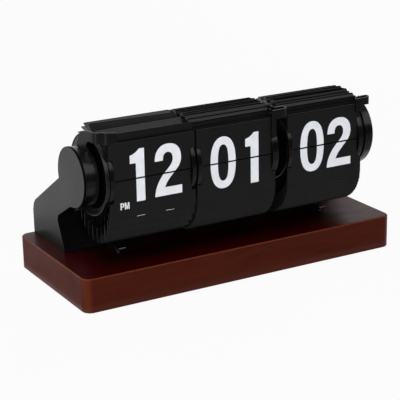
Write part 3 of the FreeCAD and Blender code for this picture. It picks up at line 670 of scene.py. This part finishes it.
def resting_leaf(corners, faces, x0, x1, pin, tip, tilt, twist, root_length, cut, trimmed, lift=0.0):
    """Adds one leaf; twist leans one end forward and lift raises its left end.

    The faces within the trimmed width of its free edge are listed in cut.
    """
    chord = (tip - pin).length
    root = -root_length / chord
    tab = tab_half_height / chord
    ear = leaf_ear_length / chord
    corner = leaf_corner / chord
    rings = []
    for i, (share, inset) in enumerate(leaf_rows(root, tab, ear, corner)):
        place, along = leaf_path(pin, tip, tilt, share)
        outward = max(share, 0.0) ** 2
        left = Vector((x0 + inset, place.x + twist * outward, place.y + lift * outward))
        right = Vector((x1 - inset, place.x - twist * outward, place.y))
        thick = Vector((0, -along.y, along.x)) * leaf_half_thickness
        rings.append([left - thick, right - thick, right + thick, left + thick])
        if 1 > share > 1 - trimmed / chord:
            cut += range(len(faces) + 4 * i, len(faces) + 4 * i + 4)
    skin(corners, faces, rings)


def leaf_rest(drum, k, rest):
    """Pin, free edge and end tilt of a waiting leaf: as the drum bends it, then moved by its rest."""
    theta = leaf_angle(drum, k)
    tip_angle = angle_at(theta, window_half_height - pin_rise(drum))
    tip = Vector(on_leaf(theta, tip_angle))
    run = tip - Vector(on_leaf(theta, tip_angle - tip_step))
    shift_y, shift_z, less_tilt = rest
    tilt = math.atan2(run.x, run.y) - math.radians(less_tilt)
    return Vector(on_leaf(theta, 0)), tip + Vector((shift_y, shift_z)) * MM, tilt


def leaf_stack(name, node, corners, faces, cut):
    """Shows the leaves in the node's place, with a matt cut along each free edge."""
    piece = new_piece(name, corners, faces, leaf_plastic, crease)
    trimmed_faces = set(cut)
    second_finish(piece, cut_edge, lambda face: face.index in trimmed_faces)
    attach(piece, "stand")
    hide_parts(node)


def leaf_fan(drum, rests):
    """All the leaves that wait over a drum."""
    low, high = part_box(drum + "_upper_leaves")
    root_length = pin_rise(drum) - split_half_gap
    corners = []
    faces = []
    cut = []
    for k in range(1, leaf_counts[drum] // 2):
        calm = k > len(rests)
        pin, tip, tilt = leaf_rest(drum, k, (0, 0, 0) if calm else rests[k - 1])
        twist = 0.0 if calm or k == 1 else waiting_twist * math.sin(waiting_beat * k)
        lift = raised_leaf_lift if (drum, k) == raised_leaf else 0.0
        resting_leaf(corners, faces, low.x, high.x, pin, tip, tilt, twist, root_length, cut,
                     trimmed_edge[drum], lift)
    leaf_stack(drum + "_waiting_leaves", drum + "_upper_leaves", corners, faces, cut)


def end_bead(corners, faces, x, y, bottom, top, radius, sides=10):
    """The slightly thicker end of a moulded leaf, from its ear down to its free edge."""
    skin(corners, faces, [[(x + c, y + s, z) for c, s in circle(radius, sides)] for z in (bottom, top)])


def hanging_leaves(drum):
    """All the leaves that hang under a drum, the front one first."""
    low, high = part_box(drum + "_lower_leaves")
    length = window_half_height - pin_rise(drum)
    root_length = pin_rise(drum) - split_half_gap
    corners = []
    faces = []
    cut = []
    trimmed = hanging_trim * trimmed_edge[drum]
    for k in range(leaf_counts[drum] // 2):
        theta = leaf_angle(drum, k)
        pin = Vector((axle_y - pin_radius * math.cos(theta), axle_z - pin_radius * math.sin(theta)))
        swing = hanging_swing * math.sin(hanging_beat * k) if k > 0 else 0.0
        tip = pin + Vector((swing, -length))
        resting_leaf(corners, faces, low.x, high.x, pin, tip, math.pi, swing_twist * swing, root_length,
                     cut, trimmed)
        if k == 0:
            bead = front_leaf_bead
        else:
            bead = leaf_end_bead * (slim_bead if k % 3 == 1 else 1.0)
        for x in (low.x + bead, high.x - bead):
            end_bead(corners, faces, x, pin.x + swing, tip.y + leaf_corner, pin.y - leaf_ear_length, bead)
    leaf_stack(drum + "_hanging_leaves", drum + "_lower_leaves", corners, faces, cut)


def round_bar(stations, y, z, sides):
    """Corners and faces of a bar along x; stations are (x, radius)."""
    corners = []
    faces = []
    skin(corners, faces, [[(x, y + c, z + s) for c, s in circle(radius, sides)] for x, radius in stations])
    return corners, faces


def edge_roll(drum):
    """The fine roll that the punch leaves along the free edge of the standing leaf."""
    low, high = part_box(drum + "_falling_leaf")
    stations = [(low.x + 2 * leaf_corner, edge_roll_radius), (high.x - 2 * leaf_corner, edge_roll_radius)]
    corners, faces = round_bar(stations, (low.y + high.y) / 2, high.z - edge_roll_radius, edge_roll_sides)
    piece = new_piece(drum + "_leaf_edge", corners, faces, leaf_plastic, crease)
    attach(piece, drum + "_leaf")


# How each waiting leaf lies, from the front one back: (y, z) shift of its free edge in millimetres,
# and by how many degrees it is tilted less.
hour_rests = [(-11.7, 1.3, 34), (-2.7, -1.3, 29), (-1.9, -0.6, 22), (-1.6, 2.2, 18), (-5.8, 2.9, 20),
              (-7.2, 4.2, 26), (-4.0, 2.0, 8)]
minute_rests = [(-1.0, -1.4, 12), (-0.6, -1.0, 19), (-0.2, -0.8, 14), (0.2, 0.3, 24), (0.2, -0.1, 8),
                (0, -0.5, 26), (0.3, -0.2, 8), (-0.3, -0.6, 30), (0.2, -0.2, 8), (0, -1.2, 30),
                (0.4, 0.1, 6), (-0.4, -0.6, 16), (0.3, 0.2, 2), (-0.3, -0.3, 12), (0.2, 0.2, 0)]
date_rests = [(-1.0, -0.5, 12), (-0.4, -1.0, 19), (-0.6, -0.6, 12), (0.2, -1.6, 24), (-0.2, -0.9, 7),
              (0, -1.9, 26), (0.3, -1.2, 8), (-0.3, -2.0, 30), (0.2, -1.4, 8), (0, -2.4, 28),
              (0.4, -1.2, 6), (-0.4, -1.6, 18), (0.3, -0.8, 6), (-0.3, -1.2, 8), (0.2, -0.4, 2)]
for drum, rests in (("hour", hour_rests), ("minute", minute_rests), ("date", date_rests)):
    dress(drum + "_falling_leaf", leaf_plastic)
    edge_roll(drum)
    leaf_fan(drum, rests)
    hanging_leaves(drum)

# ---------------------------------------------------------------- stop pins of the feet
# A short dark steel pin stands out from each foot, near its nose, and stops the hanging leaves
# from swinging forward.  It is pressed into the moulding and its end is chamfered.
stop_pin_radius = 1.8 * MM
stop_pin_sides = 24
pin_up = 3.9 * MM
pin_back = 3.6 * MM
pin_start = 2.1 * MM
pin_chamfer = 0.4 * MM
pin_end = 0.75             # radius of the chamfered end, as a share of the pin's
pin_steel = plain_metal("dark_steel", (0.16, 0.16, 0.16, 1), (0.26, 0.26, 0.26, 1), 0.3)


def stop_pin(foot):
    low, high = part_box(foot)
    stations = [(low.x + pin_start, stop_pin_radius), (high.x - pin_chamfer, stop_pin_radius),
                (high.x, pin_end * stop_pin_radius)]
    corners, faces = round_bar(stations, low.y + pin_back, low.z + pin_up, stop_pin_sides)
    pin = new_piece(foot + "_stop_pin", corners, faces, pin_steel)
    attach(pin, "stand")
    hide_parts(foot)


stop_pin("left_foot")
stop_pin("right_foot")

# ---------------------------------------------------------------- printed numbers
# The numbers are screen printed in white, 50 mm tall, and cut by the split between the leaves.
# The afternoon hours stand a little high, with a small PM below them on the left.
ink_low = (0.71, 0.73, 0.77, 1)
ink_high = (0.79, 0.81, 0.85, 1)
digit_pitch = 32.0 * MM
ink_lift = 0.05 * MM
same_point = 1e-6          # millimetres
cut_tolerance = 1e-7       # metres
print_gap = 0.75 * MM
half_leaf_height = 36.0 * MM
pm_rise = 3.0 * MM
pm_left = -34.5 * MM
pm_base = -27.9 * MM
pm_width = 0.88
flat_band = 40.0 * MM      # one band covers the half number on a flat leaf,
bent_band = 2.0 * MM       # and narrow ones follow a bent leaf
last_hour_narrow = 1.5 * MM

# Outlines in millimetres from the middle of the glyph and the split: a pair is a corner, and three
# pairs are a curve's two pulls and its end.
one = [(7.5, 24.9), (7.5, -25.4), (-1.4, -25.4), (-1.4, 11.6), (-7.4, 11.6), (-7.4, 19.4),
       ((-4.2, 20.0), (-0.4, 21.8), (2.2, 24.9))]
two = [(-13.8, 9.4), ((-13.8, 19.2), (-8.4, 25.1), (0, 25.1)), ((8.7, 25.1), (14.0, 19.6), (14.0, 10.8)),
       ((14.0, 3.6), (10.2, 0.4), (5.6, -4.2)), ((1.2, -8.6), (-2.6, -12.6), (-3.5, -16.7)), (14.4, -16.7),
       (14.4, -24.7), (-14.3, -24.7), ((-13.8, -15.4), (-9.4, -8.4), (-3.9, -2.6)),
       ((0.8, 2.2), (5.1, 5.2), (5.1, 10.4)), ((5.1, 14.6), (3.1, 17.0), (-0.1, 17.0)),
       ((-3.5, 17.0), (-5.3, 14.4), (-5.3, 9.4))]
three = [(-13.6, 10.5), ((-13.6, 19.6), (-8.2, 25.1), (0, 25.1)), ((8.2, 25.1), (13.2, 20.2), (13.2, 12.2)),
         ((13.2, 6.6), (11.2, 2.6), (7.4, 0.9)), ((11.8, -1.0), (14.3, -5.4), (14.3, -11.4)),
         ((14.3, -20.4), (8.6, -25.9), (0, -25.9)), ((-8.8, -25.9), (-14.3, -20.2), (-14.3, -10.4)),
         (-5.6, -10.4), ((-5.6, -15.4), (-3.6, -17.9), (0, -17.9)),
         ((3.4, -17.9), (5.5, -15.3), (5.5, -11.2)), ((5.5, -6.2), (3.2, -3.6), (-1.2, -3.6)),
         (-3.8, -3.6), (-3.8, 4.0), (-1.2, 4.0),
         ((2.8, 4.0), (4.6, 7.0), (4.6, 11.2)), ((4.6, 14.9), (2.8, 17.1), (0, 17.1)),
         ((-3.4, 17.1), (-5.2, 15.0), (-5.2, 10.5))]
letter_p = [(0, 0), (1.35, 0), (1.35, 2.3), (2.3, 2.3), ((3.7, 2.3), (4.4, 3.1), (4.4, 4.4)),
            ((4.4, 5.7), (3.7, 6.5), (2.3, 6.5)), (0, 6.5)]
letter_p_eye = [(1.35, 3.4), (1.35, 5.4), (2.1, 5.4), ((2.8, 5.4), (3.1, 5.0), (3.1, 4.4)),
                ((3.1, 3.8), (2.8, 3.4), (2.1, 3.4))]
letter_m = [(4.9, 0), (6.1, 0), (6.1, 4.6), (7.15, 0), (8.2, 0), (9.25, 4.6), (9.25, 0), (10.45, 0),
            (10.45, 6.5), (8.7, 6.5), (7.68, 2.2), (6.65, 6.5), (4.9, 6.5)]


def oval(half_width, top, bottom, pull_up, pull_across):
    """Outline of an upright oval, as four curves."""
    left, right = -half_width, half_width
    return [(left, 0), ((left, pull_up), (-pull_across, top), (0, top)),
            ((pull_across, top), (right, pull_up), (right, 0)),
            ((right, -pull_up), (pull_across, bottom), (0, bottom)),
            ((-pull_across, bottom), (left, -pull_up), (left, 0))]


zero = [oval(13.9, 25.8, -25.3, 16.6, 9.2), oval(5.8, 18.0, -17.8, 12.6, 4.1)]
glyphs = {"0": zero, "1": [one], "2": [two], "3": [three], "P": [letter_p, letter_p_eye], "M": [letter_m]}


def printed_ink():
    material, tree, shader = new_finish("digit_print")
    film = cloudy(tree, (120, 120, 120), detail=4)
    tint(tree, shader, film, ink_low, ink_high)
    mesh_marks = cloudy(tree, (5000, 5000, 5000), detail=1)
    roughen(tree, shader, mesh_marks, 0.5, 0.6)
    shader.inputs["Specular IOR Level"].default_value = 0.2
    raise_surface(tree, shader, mesh_marks, 0.006 * MM, 0.2)
    return material


def traced(path, steps=9):
    """Points along an outline, in metres."""
    points = [Vector(path[0])]
    for step in path[1:]:
        if isinstance(step[0], tuple):
            start = points[-1].copy()
            pull_1, pull_2, end = (Vector(p) for p in step)
            for k in range(1, steps + 1):
                t = k / steps
                points.append((1 - t) ** 3 * start + 3 * t * (1 - t) ** 2 * pull_1
                              + 3 * t * t * (1 - t) * pull_2 + t ** 3 * end)
        else:
            points.append(Vector(step))
    if (points[0] - points[-1]).length < same_point:
        points.pop()
    return [p * MM for p in points]


def glyph_sheet(work, glyph, shift_x, shift_z, width=1.0):
    """Adds a filled glyph to the mesh, in the plane of (x, height)."""
    loops = []
    for path in glyphs[glyph]:
        loops.append([Vector((p.x * width + shift_x, p.y + shift_z, 0)) for p in traced(path)])
    verts = [work.verts.new((p.x, 0, p.y)) for loop in loops for p in loop]
    for triangle in tessellate_polygon(loops):
        work.faces.new([verts[i] for i in triangle])


def keep_band(work, low, high, band):
    """Cuts the print to one half of the leaf and into bands that can follow a bent leaf."""
    def cut(height, clear_below=False, clear_above=False):
        bmesh.ops.bisect_plane(work, geom=work.verts[:] + work.edges[:] + work.faces[:], dist=cut_tolerance,
                               plane_co=(0, 0, height), plane_no=(0, 0, 1),
                               clear_inner=clear_below, clear_outer=clear_above)
    cut(low, clear_below=True)
    cut(high, clear_above=True)
    height = low + band
    while height < high:
        cut(height)
        height += band


ink = printed_ink()


def print_number(name, text, body, centre_x, upper, rise, place, letters=False, narrow=0.0,
                 band=flat_band, facing=-1):
    """One half of a number; place turns (x, height above the split) into a point on the leaf."""
    work = bmesh.new()
    pitch = digit_pitch - narrow
    for i, digit in enumerate(text):
        glyph_sheet(work, digit, (i - (len(text) - 1) / 2) * pitch, rise)
    if letters:
        for letter in "PM":
            glyph_sheet(work, letter, pm_left, pm_base, pm_width)
    if upper:
        keep_band(work, print_gap, half_leaf_height, band)
    else:
        keep_band(work, -half_leaf_height, -print_gap, band)
    for v in work.verts:
        v.co = place(centre_x + v.co.x, v.co.z)
    bmesh.ops.remove_doubles(work, verts=work.verts, dist=weld_distance)
    for face in work.faces:
        face.normal_update()
        if face.normal.y * facing < 0:
            face.normal_flip()
    piece = new_piece(name, *taken_apart(work), ink, closed=False)
    piece.data.shade_flat()
    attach(piece, body)


def standing_face(drum):
    """Front of the standing leaf."""
    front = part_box(drum + "_falling_leaf")[0].y - ink_lift
    return lambda x, height: (x, front, axle_z + height)


def standing_back(drum):
    """Back of the standing leaf, which shows its lower half once the leaf has fallen."""
    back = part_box(drum + "_falling_leaf")[1].y + ink_lift
    return lambda x, height: (x, back, axle_z - height)


def hanging_face(drum, k):
    """Front of a hanging leaf, counted from the front one."""
    front = axle_y - pin_radius * math.cos(leaf_angle(drum, k)) - leaf_half_thickness - ink_lift
    drop = pin_radius * math.sin(leaf_angle(drum, k)) - pin_rise(drum)
    return lambda x, height: (x, front, axle_z - drop + height)


def waiting_face(drum, rest):
    """Front of the leaf that waits behind the standing one."""
    pin, tip, tilt = leaf_rest(drum, 1, rest)
    length = window_half_height - pin_rise(drum)

    def face(x, height):
        place, along = leaf_path(pin, tip, tilt, (height - pin_rise(drum)) / length)
        shift = leaf_half_thickness + ink_lift
        return (x, place.x - along.y * shift, place.y + along.x * shift)
    return face


shown = {
    "hour": ("12", "1", "11", 0.3 * MM, hour_rests[0]),
    "minute": ("01", "02", "00", 1.1 * MM, minute_rests[0]),
    "date": ("02", "03", "01", 1.0 * MM, date_rests[0])}
for drum, (now, following, before, off_centre, rest) in shown.items():
    low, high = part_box(drum + "_lower_leaves")
    middle = (low.x + high.x) / 2 + off_centre
    hours = drum == "hour"
    rise = pm_rise if hours else 0.0
    leaf = drum + "_leaf"
    on_front = standing_face(drum)
    on_back = standing_back(drum)
    on_next = waiting_face(drum, rest)
    on_hanging = hanging_face(drum, 0)
    on_last = hanging_face(drum, 1)
    narrow = last_hour_narrow if hours else 0.0
    print_number(drum + "_number_top", now, leaf, middle, True, rise, on_front)
    print_number(drum + "_number_bottom", now, "stand", middle, False, rise, on_hanging, hours)
    print_number(drum + "_next_bottom", following, leaf, middle, False, -rise, on_back, hours, facing=1)
    print_number(drum + "_next_top", following, "stand", middle, True, -rise, on_next, band=bent_band)
    print_number(drum + "_last_bottom", before, "stand", middle, False, -rise, on_last, narrow=narrow)

# ---------------------------------------------------------------- leaf catches
# A springy black strip beside each drum reaches over a corner of the front leaf and holds it until
# its number is due.  The hour catch is rooted on the gear housing, the others on bracket and arm.
catch_dark = (0.0020, 0.0020, 0.0021, 1)
catch_light = (0.0038, 0.0038, 0.0040, 1)
catch_plastic = moulded_plastic("catch_plastic", catch_dark, catch_light, 0.26, 0.012 * MM, 0.5)
catch_matt = moulded_plastic("catch_plastic_matt", catch_dark, catch_light, 0.4, 0.012 * MM, 0.1)
strip_half = 0.6 * MM
strip_edge_radius = 0.3 * MM
fold_deg = 50            # the strip's folds turn by less than this from point to point


def bent_strip(name, route, node):
    """Upright strip along a route, shown in the catch's place."""
    corners = []
    faces = []
    rings = []
    for i, (x, y, bottom, top) in enumerate(route):
        before = Vector(route[max(i - 1, 0)][:2])
        after = Vector(route[min(i + 1, len(route) - 1)][:2])
        along = (after - before).normalized()
        side = Vector((along.y, -along.x, 0)) * strip_half
        low = Vector((x * MM, y * MM, axle_z + bottom * MM))
        high = Vector((x * MM, y * MM, axle_z + top * MM))
        rings.append([low + side, high + side, high - side, low - side])
    skin(corners, faces, rings)
    piece = new_piece(name, corners, faces, catch_plastic, crease)
    ease_edges(piece, strip_edge_radius, fold_deg)
    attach(piece, "stand")
    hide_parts(node)
    return piece


# Millimetres: x, y, and the heights of the lower and upper edge above the axle.
minute_route = [(39.5, -59.3, 17.0, 43.4), (39.6, -60.3, 17.0, 43.7), (40.3, -60.9, 17.0, 43.8),
                (43.2, -61.0, 17.0, 43.9), (43.3, -61.0, 35.0, 43.9), (53.2, -61.0, 35.0, 44.0),
                (54.5, -60.6, 35.0, 44.1), (55.2, -59.7, 35.0, 44.3), (55.4, -58.4, 35.1, 44.6),
                (55.1, -57.0, 35.3, 44.9), (54.2, -56.1, 35.6, 45.1), (52.8, -55.8, 36.0, 45.2),
                (44.6, -55.8, 37.0, 45.2)]
minute_tail = [(52.6, -57.4, 35.6, 43.0), (52.6, -52.0, 35.0, 43.0), (52.6, -44.0, 29.0, 38.0),
               (52.6, -34.5, 22.0, 31.0)]
date_route = [(138.2, -59.3, 28.0, 41.2), (138.3, -60.3, 28.0, 41.4), (139.0, -60.9, 28.0, 41.5),
              (142.0, -61.0, 28.0, 41.8), (142.1, -61.0, 34.6, 41.8), (150.6, -61.0, 34.4, 42.0),
              (152.2, -60.6, 34.4, 42.1), (153.1, -59.6, 34.4, 42.3), (153.2, -58.2, 34.5, 42.6),
              (152.4, -57.1, 34.8, 42.9), (150.9, -56.7, 35.2, 43.0), (145.6, -56.7, 36.0, 43.0)]
date_tail = [(146.3, -57.2, 35.6, 42.0), (146.3, -52.0, 34.5, 42.0), (146.3, -36.0, 18.0, 26.0),
             (146.3, -18.5, 8.0, 15.0)]
hour_route = [(-145.2, -14.5, 26.0, 29.4), (-145.2, -19.0, 26.0, 37.0), (-145.2, -23.0, 26.0, 42.6),
              (-145.2, -29.0, 26.0, 44.4), (-145.2, -32.6, 25.0, 45.0), (-145.2, -34.2, 31.0, 45.3),
              (-145.2, -37.0, 35.0, 45.8), (-145.2, -41.0, 36.6, 46.4), (-145.2, -47.0, 36.8, 47.0),
              (-145.0, -50.0, 36.6, 47.1), (-144.2, -52.2, 36.4, 47.2), (-142.9, -53.6, 36.4, 47.3),
              (-141.2, -54.4, 36.4, 47.4), (-139.6, -54.8, 36.4, 47.4), (-138.5, -55.4, 36.4, 47.5),
              (-138.0, -56.6, 36.4, 47.6), (-138.0, -58.0, 36.4, 47.7), (-137.5, -59.3, 36.5, 47.7),
              (-136.6, -60.3, 36.6, 47.8), (-135.4, -60.8, 36.8, 47.8), (-134.0, -61.0, 37.0, 47.6),
              (-127.4, -61.0, 37.4, 47.0)]


bent_strip("minute_catch_spring", minute_route, "minute_catch")
bent_strip("minute_catch_tail", minute_tail, "minute_catch")
bent_strip("date_catch_spring", date_route, "date_catch")
bent_strip("date_catch_tail", date_tail, "date_catch")
hour_spring = bent_strip("hour_catch_spring", hour_route, "hour_catch")
# The side that faces left is matt.
second_finish(hour_spring, catch_matt, lambda face: face.normal.x < -0.8)

# ---------------------------------------------------------------- studio
# A pale floor, a surround that is white only to the camera and in reflections, three soft lamps,
# and cards of painted shade that show in reflections alone.
lens_mm = 124.55
sensor_mm = 36.0
camera_at = Vector((-0.6529, -1.1449, 0.4866))
camera_right = Vector((0.86808, -0.49606, -0.01903))
camera_up = Vector((0.16852, 0.25841, 0.95122))
floor_half = 6.0
floor_dark = (0.86, 0.86, 0.86, 1)
floor_light = (0.90, 0.90, 0.90, 1)
white_share = 0.95
surround_strength = 0.10


def camera_reflections(tree):
    """1 where a camera, glossy or transmission ray arrives, else 0."""
    path = tree.nodes.new("ShaderNodeLightPath")
    total = path.outputs["Is Camera Ray"]
    for kind in ("Is Glossy Ray", "Is Transmission Ray"):
        total = worked(tree, "MAXIMUM", total, path.outputs[kind])
    return total


world = bpy.data.worlds.new("surround")
bpy.context.scene.world = world
world.use_nodes = True
tree = world.node_tree
backdrop = tree.nodes["Background"]
backdrop.inputs["Color"].default_value = white
seen = camera_reflections(tree)
tree.links.new(ranged(tree, seen, surround_strength, 1.0, 0.0, 1.0), backdrop.inputs["Strength"])

floor_material, tree, shader = new_finish("pale_floor")
tint(tree, shader, cloudy(tree, (3, 3, 3)), floor_dark, floor_light)
shader.inputs["Roughness"].default_value = 0.9
shader.inputs["Specular IOR Level"].default_value = 0.0
glow = tree.nodes.new("ShaderNodeEmission")
glow.inputs["Strength"].default_value = 1.0
blend = tree.nodes.new("ShaderNodeMixShader")
seen = camera_reflections(tree)
tree.links.new(ranged(tree, seen, 0.0, white_share, 0.0, 1.0), blend.inputs["Fac"])
tree.links.new(shader.outputs["BSDF"], blend.inputs[1])
tree.links.new(glow.outputs["Emission"], blend.inputs[2])
tree.links.new(blend.outputs["Shader"], tree.nodes["Material Output"].inputs["Surface"])


def flat_sheet(name, low, high, material):
    """Rectangle between two corners, level or upright along x."""
    (x0, y0, z0), (x1, y1, z1) = low, high
    corners = [(x0, y0, z0), (x1, y0, z0), (x1, y1, z1), (x0, y1, z1)]
    return new_piece(name, corners, [(0, 1, 2, 3)], material, closed=False)


floor = flat_sheet("studio_floor", (-floor_half, -floor_half, 0), (floor_half, floor_half, 0), floor_material)


def softbox(name, at, aim, width, height, watts):
    lamp = bpy.data.lights.new(name, "AREA")
    lamp.shape = "RECTANGLE"
    lamp.size = width
    lamp.size_y = height
    lamp.energy = watts
    holder = bpy.data.objects.new(name, lamp)
    holder.location = at
    holder.rotation_euler = (Vector(aim) - Vector(at)).to_track_quat("-Z", "Y").to_euler()
    holder.visible_glossy = False
    bpy.context.scene.collection.objects.link(holder)


softbox("front_softbox", (-0.55, -2.0, 0.36), (0, 0, 0.08), 0.9, 0.6, 32)
softbox("left_softbox", (-2.0, 0.1, 0.40), (0, 0, 0.08), 1.2, 0.6, 26)
softbox("right_softbox", (1.7, 0.9, 0.9), (0, 0, 0.08), 1.2, 0.8, 10)


def dark_card(name, low, high, shade):
    """Card of painted shade that shows only in reflections, as the dimly lit floor near the clock and the
    unlit parts of the studio do.
    """
    material, tree, shader = new_finish(name)
    dark, light = ((share * shade, share * shade, share * shade, 1) for share in (0.9, 1.1))
    tint(tree, shader, cloudy(tree, (8, 8, 8)), dark, light)
    shader.inputs["Specular IOR Level"].default_value = 0.0
    card = flat_sheet(name, low, high, material)
    card.visible_camera = False
    card.visible_diffuse = False
    card.visible_shadow = False
    card.visible_transmission = False


# Painted shade in reflections: the floor near the base and left of it, a strip behind the right end, the far
# floor, the front wall and the ceiling.
dark_card("near_floor_shade_card", (-1.2, -0.20, 0.003), (1.8, -0.085, 0.003), 0.80)
dark_card("behind_right_shade_card", (0.19, 0.10, 0.034), (0.231, 0.10, 0.20), 0.12)
dark_card("left_floor_shade_card", (-0.235, -0.085, 0.003), (-0.1745, 0.20, 0.003), 1.0)
dark_card("far_floor_card", (-1.2, -0.62, 0.003), (1.8, -0.20, 0.003), 0.42)
dark_card("front_card", (-1.4, -0.62, 0.003), (2.0, -0.62, 0.34), 0.05)
dark_card("ceiling_card", (-1.6, -0.60, 1.2), (2.4, 0.25, 1.2), 0.25)

camera_data = bpy.data.cameras.new("camera")
camera_data.lens = lens_mm
camera_data.sensor_width = sensor_mm
camera_data.clip_start = 0.05
camera = bpy.data.objects.new("camera", camera_data)
bpy.context.scene.collection.objects.link(camera)
back = camera_right.cross(camera_up)
camera.location = camera_at
camera.rotation_euler = Matrix((camera_right, camera_up, back)).transposed().to_euler()
bpy.context.scene.camera = camera
bpy.context.scene.view_settings.view_transform = "Standard"
